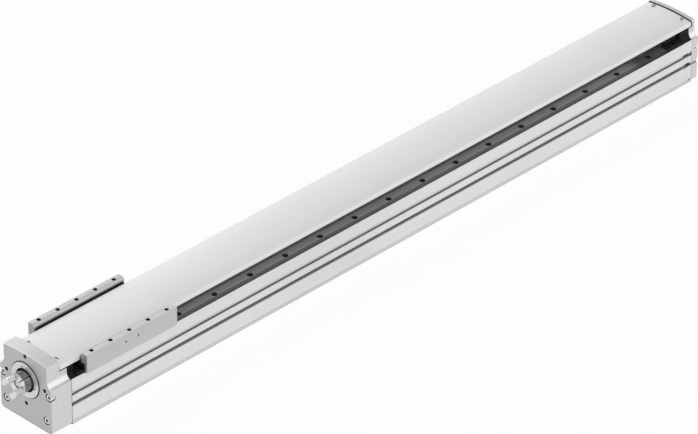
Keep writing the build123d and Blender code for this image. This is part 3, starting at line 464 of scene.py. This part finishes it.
def placeCopies(name, source, places, material, body, sharpFrom=32):
    # copies of one bmesh, each at its own matrix in millimetres, joined in one piece. An edge is sharp
    # from sharpFrom degrees
    mesh = bpy.data.meshes.new(name)
    shape = bpy.data.meshes.new(name + "Shape")
    source.to_mesh(shape)
    bm = bmesh.new()
    for place in places:
        known = set(bm.verts)
        bm.from_mesh(shape)
        fresh = [vert for vert in bm.verts if vert not in known]
        bmesh.ops.transform(bm, matrix=Matrix.Scale(mm, 4) @ place, verts=fresh)
    for edge in bm.edges:
        if len(edge.link_faces) == 2:
            edge.smooth = edge.calc_face_angle(0) < math.radians(sharpFrom)
    for face in bm.faces:
        face.smooth = True
    bm.to_mesh(mesh)
    bm.free()
    source.free()
    bpy.data.meshes.remove(shape)
    mesh.materials.append(material)
    piece = bpy.data.objects.new(name, mesh)
    bpy.context.scene.collection.objects.link(piece)
    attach(piece, body)
    return piece


def placeAlong(x, y, z, axis, spin=0.0):
    # a place whose own +Z points along axis, turned about it by spin degrees
    turn = Vector(axis).to_track_quat("Z", "Y").to_matrix().to_4x4()
    return Matrix.Translation((x, y, z)) @ turn @ Matrix.Rotation(math.radians(spin), 4, "Z")


driveFace = boxInMm("drive_cap")[0].x
farFace = boxInMm("far_cap")[1].x

# "solidHead" is the radius of the plain heads whose places these screws take
capScrew = {"head": 4.6, "tall": 6.0, "shank": 2.9, "length": 20.0, "driveLength": 40.0,
            "socket": 2.1, "deep": 3.4, "soft": 0.4, "sunk": 0.4, "solidHead": 5.0, "lowerInset": 5.0,
            "spinByZ": 11, "spinBySide": 17}


def capScrewPlaces(face, axis):
    low, high = boxInMm("drive_cap_screws")
    y, reach = high.y - capScrew["solidHead"], capScrew["solidHead"]
    x = face - axis * (capScrew["sunk"] + capScrew["tall"])
    places = []
    for y, z in ((y - capScrew["lowerInset"], low.z + reach), (y, high.z - reach)):
        for side in (1, -1):
            spin = capScrew["spinByZ"] * z + capScrew["spinBySide"] * side
            places.append(placeAlong(x, side * y, z, (axis, 0, 0), spin))
    return places


driveScrew = {**capScrew, "length": capScrew["driveLength"]}
driveScrews = placeCopies("driveCapSocketScrews", socketScrew(driveScrew), capScrewPlaces(driveFace, -1),
                          brightSteel, "frame")
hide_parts("drive_cap_screws")
farScrews = placeCopies("farCapSocketScrews", socketScrew(capScrew), capScrewPlaces(farFace, 1),
                        brightSteel, "frame")
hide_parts("far_cap_screws")

coverScrew = {"head": 2.75, "cone": 0.85, "shank": 1.9, "length": 5.5, "socket": 1.25, "deep": 1.5,
              "spacing": 48.0, "nearInset": 5.4, "farInset": 5.1, "top": 84.4, "spin": 20}
coverLow, coverHigh = boxInMm("top_cover")
coverPlaces = [placeAlong(x, side * coverScrew["spacing"] / 2, coverScrew["top"], (0, 0, 1),
                          coverScrew["spin"] * side)
               for x in (coverLow.x + coverScrew["nearInset"], coverHigh.x - coverScrew["farInset"])
               for side in (1, -1)]
coverScrews = placeCopies("coverFlatScrews", flatScrew(coverScrew), coverPlaces, glintPaintedSteel, "frame")
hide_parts("cover_screws")

railScrew = {"head": 3.5, "tall": 2.8, "shank": 1.9, "length": 11.0, "socket": 1.5, "deep": 1.5,
             "soft": 0.25, "count": 12, "rows": 17, "y": 38.5, "spin": 25}
railLow, railHigh = boxInMm("rail_screws")
railPitch = (railHigh.x - railLow.x - 2 * railScrew["head"]) / (railScrew["rows"] - 1)
railPlaces = [placeAlong(railHigh.x - railScrew["head"] - i * railPitch, side * railScrew["y"],
                         railHigh.z - railScrew["tall"], (0, 0, 1), railScrew["spin"] * i)
              for side in (1, -1) for i in range(railScrew["rows"])]
railScrews = placeCopies("railSocketScrews", socketScrew(railScrew), railPlaces, blackSteel, "frame")
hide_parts("rail_screws")
print("screws made")


# Ball screw with its helical track. Its lengths run from each end inwards
mergeReach = 0.002
cutReach = 0.0001
shaftSegments = 32
spindle = {"radius": 7.5, "lead": 10.0, "groove": 1.75, "depth": 1.1, "lip": 0.3, "lipDrop": 0.2,
           "arcSteps": 6, "steps": 20, "driveEnd": 5.0, "driveEndLength": 13.3, "journal": 6.0,
           "journalLength": 25.3, "collar": 1.8, "farJournal": 5.0, "farJournalLength": 7.4,
           "farCollar": 0.5, "endBevel": 0.6, "journalBevel": 0.4, "seatBevel": 0.3, "gap": 0.01,
           "sharpFrom": 40}
screwLow, screwHigh = boxInMm("ball_screw")
shoulderX = screwLow.x + spindle["driveEndLength"]
collarX = shoulderX + spindle["journalLength"]
trackStart = collarX + spindle["collar"]
farCollarX = screwHigh.x - spindle["farJournalLength"]
trackEnd = farCollarX - spindle["farCollar"]


def spinOutline(bm, outline, axis, turns, steps, advance):
    # spins (radius, place along axis) points, a step forward with each step round, and merges the laps
    across = Vector((0, 0, 1)) if axis.x else Vector((1, 0, 0))
    verts = [bm.verts.new(across * radius + axis * along) for radius, along in outline]
    edges = [bm.edges.new(pair) for pair in zip(verts, verts[1:])]
    bmesh.ops.spin(bm, geom=verts + edges, cent=(0, 0, 0), axis=axis, angle=2 * math.pi * turns,
                   steps=turns * steps, dvec=axis * (advance / steps), use_merge=False)
    bmesh.ops.remove_doubles(bm, verts=bm.verts, dist=mergeReach)


def helicalTrack(size):
    # one lead of the outline, spun round and forward once for each turn
    bm = bmesh.new()
    radius, lead, half = size["radius"], size["lead"], size["groove"]
    outline = [(radius, 0.0), (radius, lead / 2 - half - size["lip"])]
    for i in range(size["arcSteps"] + 1):
        angle = math.pi * i / size["arcSteps"]
        drop = size["lipDrop"] + (size["depth"] - size["lipDrop"]) * math.sin(angle)
        outline.append((radius - drop, lead / 2 - half * math.cos(angle)))
    outline += [(radius, lead / 2 + half + size["lip"]), (radius, lead)]
    turns = math.ceil((trackEnd - trackStart) / lead) + 1
    spinOutline(bm, outline, Vector((1, 0, 0)), turns, size["steps"], lead)
    bmesh.ops.translate(bm, verts=bm.verts, vec=(trackStart - lead, 0, 0))
    for x, normal in ((trackStart, (-1, 0, 0)), (trackEnd, (1, 0, 0))):
        cut = bmesh.ops.bisect_plane(bm, geom=bm.verts[:] + bm.edges[:] + bm.faces[:], dist=cutReach,
                                     plane_co=(x, 0, 0), plane_no=normal, clear_outer=True)
        rim = [item for item in cut["geom_cut"] if isinstance(item, bmesh.types.BMEdge)]
        bmesh.ops.edgeloop_fill(bm, edges=rim)
    bmesh.ops.recalc_face_normals(bm, faces=bm.faces)
    return bm


def addShaft(bm, rings):
    # a turned shaft along X through the given (radius, x) rings
    shaft = loftRings(rings, shaftSegments)
    turn = Matrix.Rotation(math.pi / 2, 3, "Y")
    bmesh.ops.rotate(shaft, verts=shaft.verts, cent=(0, 0, 0), matrix=turn)
    mesh = bpy.data.meshes.new("shaft")
    shaft.to_mesh(mesh)
    shaft.free()
    bm.from_mesh(mesh)
    bpy.data.meshes.remove(mesh)


def makeSpindle(size):
    bm = helicalTrack(size)
    radius, journal, driveEnd, farJournal = (
        size[key] for key in ("radius", "journal", "driveEnd", "farJournal"))
    endBevel, journalBevel, seatBevel = size["endBevel"], size["journalBevel"], size["seatBevel"]
    addShaft(bm, [(driveEnd - endBevel, screwLow.x), (driveEnd, screwLow.x + endBevel),
                  (driveEnd, shoulderX), (journal - journalBevel, shoulderX),
                  (journal, shoulderX + journalBevel), (journal, collarX),
                  (radius - seatBevel, collarX), (radius, collarX + seatBevel),
                  (radius, trackStart + size["gap"])])
    addShaft(bm, [(radius, trackEnd - size["gap"]), (radius, farCollarX),
                  (farJournal, farCollarX), (farJournal, screwHigh.x - endBevel),
                  (farJournal - endBevel, screwHigh.x)])
    return bm


spindlePlaces = [Matrix.Translation((0, 0, axisHeight))]
spindlePiece = placeCopies("ballScrewSpindle", makeSpindle(spindle), spindlePlaces, spindleSteel, "screw",
                           spindle["sharpFrom"])
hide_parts("ball_screw")
print("ball screw made")


# Threads in the tapped holes
thread = {"root": 2.49, "crest": 2.1, "pitch": 1.0, "turns": 8, "steps": 14, "sunk": 0.1,
          "mouth": 2.73, "chamfer": 0.24, "chamferSunk": 0.01, "chamferSegments": 32}


def threadSleeve(size):
    bm = bmesh.new()
    root, pitch, chamfer = size["root"], size["pitch"], size["chamfer"]
    outline = [(root, 0.0), (size["crest"], pitch / 2), (root, pitch)]
    spinOutline(bm, outline, Vector((0, 0, 1)), size["turns"], size["steps"], pitch)
    bmesh.ops.translate(bm, verts=bm.verts, vec=(0, 0, -(size["turns"] + 1) * pitch - size["sunk"]))
    place = Matrix.Translation((0, 0, -chamfer / 2 - size["chamferSunk"]))
    bmesh.ops.create_cone(bm, cap_ends=False, segments=size["chamferSegments"], radius1=root,
                          radius2=size["mouth"], depth=chamfer, matrix=place)
    # the metal lies outside the sleeve, so its faces look at the hole's middle
    bmesh.ops.recalc_face_normals(bm, faces=bm.faces)
    inward = sum(face.calc_center_median().xy.dot(face.normal.xy) < 0 for face in bm.faces)
    if inward < len(bm.faces) / 2:
        bmesh.ops.reverse_faces(bm, faces=bm.faces)
    return bm


slideThreads = {"pitch": 30.0, "count": 5}
barLow, barHigh = boxInMm("left_slide_bar")
barMiddle = cornerInMm(*((low + high) / 2 for low, high in zip(barLow, barHigh)))
slidePlaces = [placeAlong(barMiddle.x + (i - slideThreads["count"] // 2) * slideThreads["pitch"],
                          side * barMiddle.y, barHigh.z, (0, 0, 1))
               for side in (1, -1) for i in range(slideThreads["count"])]
placeCopies("slideThreads", threadSleeve(thread), slidePlaces, darkThread, "slide")

flangeThreads = {"radius": 32.5, "count": 4}
flangePlaces = []
for i in range(flangeThreads["count"]):
    angle = 2 * math.pi * i / flangeThreads["count"]
    y, z = flangeThreads["radius"] * math.cos(angle), flangeThreads["radius"] * math.sin(angle)
    flangePlaces.append(placeAlong(driveFace, y, axisHeight + z, (-1, 0, 0)))
placeCopies("flangeThreads", threadSleeve(thread), flangePlaces, darkThread, "frame")
print("threads made")


# Floor, light and camera
def anyRay(tree, *kinds):
    # 1 for the rays of these kinds
    path = tree.nodes.new("ShaderNodeLightPath")
    seen = path.outputs[kinds[0]]
    for kind in kinds[1:]:
        seen = mathNode(tree, "MAXIMUM", seen, path.outputs[kind])
    return seen


floorLook = {"size": 12.0, "tone": 0.9, "roughness": 0.9, "specular": 0.1, "whiteShare": 0.93}


def makeFloor():
    # part white to the camera, so it meets the white background and keeps the object's shadow
    bm = bmesh.new()
    bmesh.ops.create_grid(bm, x_segments=1, y_segments=1, size=floorLook["size"])
    mesh = bpy.data.meshes.new("floor")
    bm.to_mesh(mesh)
    bm.free()
    floor = bpy.data.objects.new("floor", mesh)
    bpy.context.scene.collection.objects.link(floor)
    material = bpy.data.materials.new("paleFloor")
    material.use_nodes = True
    tree = material.node_tree
    shader = tree.nodes["Principled BSDF"]
    shader.inputs["Base Color"].default_value = grey(floorLook["tone"])
    shader.inputs["Roughness"].default_value = floorLook["roughness"]
    shader.inputs["Specular IOR Level"].default_value = floorLook["specular"]
    glow = tree.nodes.new("ShaderNodeEmission")
    both = tree.nodes.new("ShaderNodeMixShader")
    seen = anyRay(tree, "Is Camera Ray", "Is Glossy Ray")
    tree.links.new(mathNode(tree, "MULTIPLY", seen, floorLook["whiteShare"]), both.inputs[0])
    tree.links.new(shader.outputs[0], both.inputs[1])
    tree.links.new(glow.outputs[0], both.inputs[2])
    tree.links.new(both.outputs[0], tree.nodes["Material Output"].inputs["Surface"])
    mesh.materials.append(material)


# each sun's strength, the direction it comes from and its width in degrees
light = {"ambient": 0.42, "key": 1.4, "keyFrom": (-0.2, -0.78, 0.59), "keyAngle": 40.0,
         "fill": 1.35, "fillFrom": (0.1, 0.87, 0.48), "fillAngle": 60.0}


def makeSun(name, strength, fromDirection, angle):
    data = bpy.data.lights.new(name, "SUN")
    data.energy = strength
    data.angle = math.radians(angle)
    lamp = bpy.data.objects.new(name, data)
    lamp.rotation_mode = "QUATERNION"
    lamp.rotation_quaternion = Vector(fromDirection).to_track_quat("Z", "Y")
    bpy.context.scene.collection.objects.link(lamp)


def makeWorld():
    # white to the camera and in reflections, and dimmer as a light
    world = bpy.data.worlds.new("studio")
    bpy.context.scene.world = world
    world.use_nodes = True
    tree = world.node_tree
    back = tree.nodes["Background"]
    back.inputs["Color"].default_value = grey(1.0)
    seen = anyRay(tree, "Is Camera Ray", "Is Glossy Ray", "Is Transmission Ray")
    tree.links.new(mapValue(tree, seen, light["ambient"], 1.0), back.inputs["Strength"])


# solved from points in the photograph: angles in degrees, lengths in millimetres from the base face
# at shiftX, and the focal length in pixels of a picture frameWidth wide
camera = {"azimuth": -45.658, "elevation": 32.784, "roll": 0.353, "across": -374.003, "up": -236.395,
          "distance": 6025.676, "focalPixels": 5188.912, "frameWidth": 698, "shiftX": -573.1,
          "sensorWidth": 36, "clipEnd": 100}


def makeCamera():
    a, e, roll = (math.radians(camera[key]) for key in ("azimuth", "elevation", "roll"))
    back = Vector((math.sin(a) * math.cos(e), -math.cos(a) * math.cos(e), math.sin(e)))
    right = Vector((math.cos(a), math.sin(a), 0))
    up = back.cross(right)
    turned = Matrix.Rotation(-roll, 3, "Z") @ Matrix((right, up, back))
    offset = Vector((camera["across"], camera["up"], -camera["distance"]))
    place = -(turned.transposed() @ offset) + Vector((camera["shiftX"], 0, 0))
    data = bpy.data.cameras.new("camera")
    data.sensor_width = camera["sensorWidth"]
    data.lens = camera["sensorWidth"] * camera["focalPixels"] / camera["frameWidth"]
    data.clip_end = camera["clipEnd"]
    eye = bpy.data.objects.new("camera", data)
    eye.matrix_world = Matrix.Translation(place * mm) @ turned.transposed().to_4x4()
    bpy.context.scene.collection.objects.link(eye)
    bpy.context.scene.camera = eye


makeFloor()
makeSun("keyLight", light["key"], light["keyFrom"], light["keyAngle"])
makeSun("fillLight", light["fill"], light["fillFrom"], light["fillAngle"])
makeWorld()
makeCamera()
bpy.context.scene.view_settings.view_transform = "Standard"
print("floor, light and camera made")
